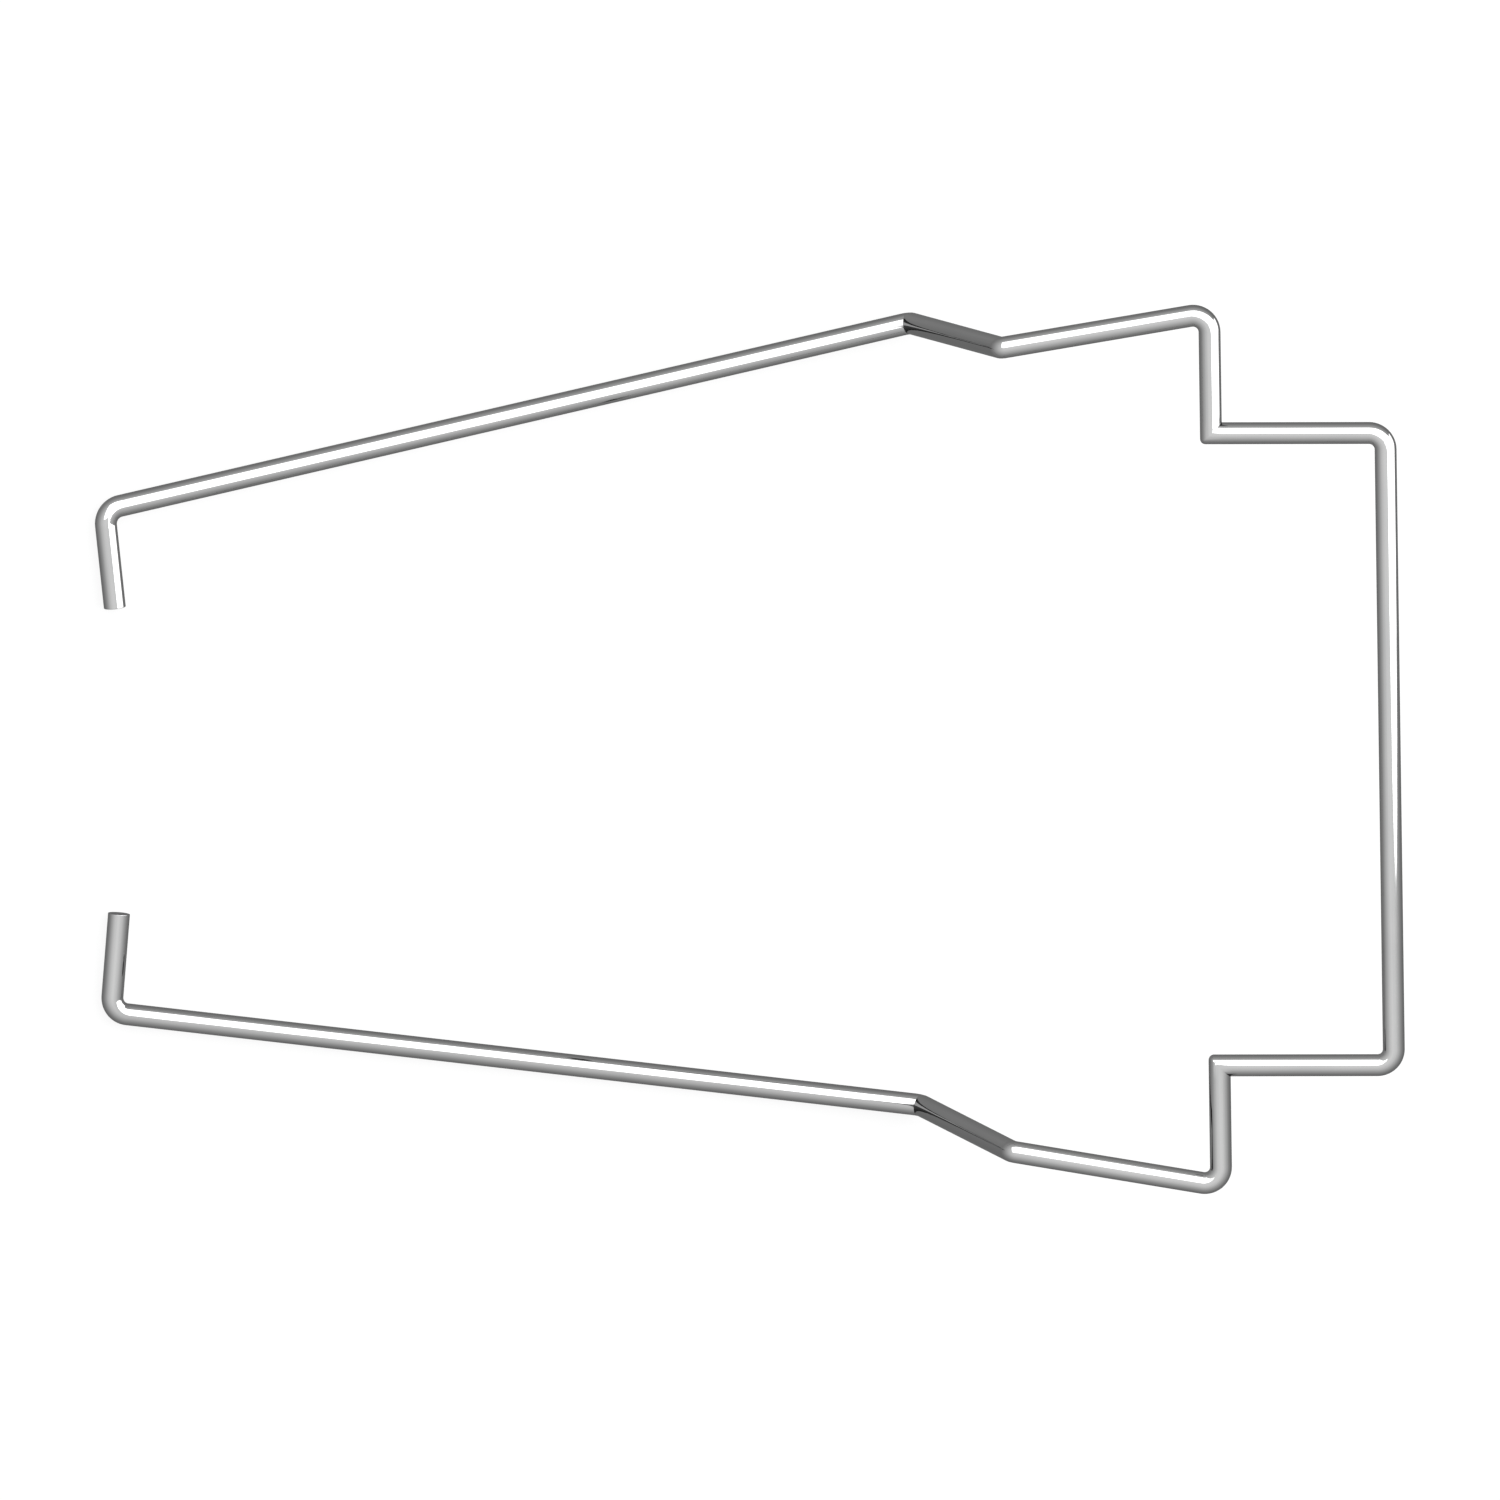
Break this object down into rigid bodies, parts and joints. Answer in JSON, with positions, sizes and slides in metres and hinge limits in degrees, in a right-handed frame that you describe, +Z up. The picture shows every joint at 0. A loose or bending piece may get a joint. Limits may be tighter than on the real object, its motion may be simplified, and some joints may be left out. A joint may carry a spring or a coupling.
{
  "type": "relay retaining clip",
  "caption": "Bent spring-wire clip: splayed legs with inward pivot pins, a stepped offset and a narrow square end whose bar holds a plug-in relay down on its socket.",
  "frame": {"origin": "centre of the bounding box at its base, on the surface that the legs and pins lie on", "axes": "+Z up from the plane of the legs, +X from the pivot pins towards the hold-down bar, +Y across the clip from leg to leg"},
  "size_m": [0.0566, 0.041, 0.0184],
  "materials": {
    "spring_wire": "bright polished, clean, faint drawing lines along the wire"
  },
  "bodies": {
    "root": {"wire_clip": "spring_wire"}
  },
  "joints": []
}
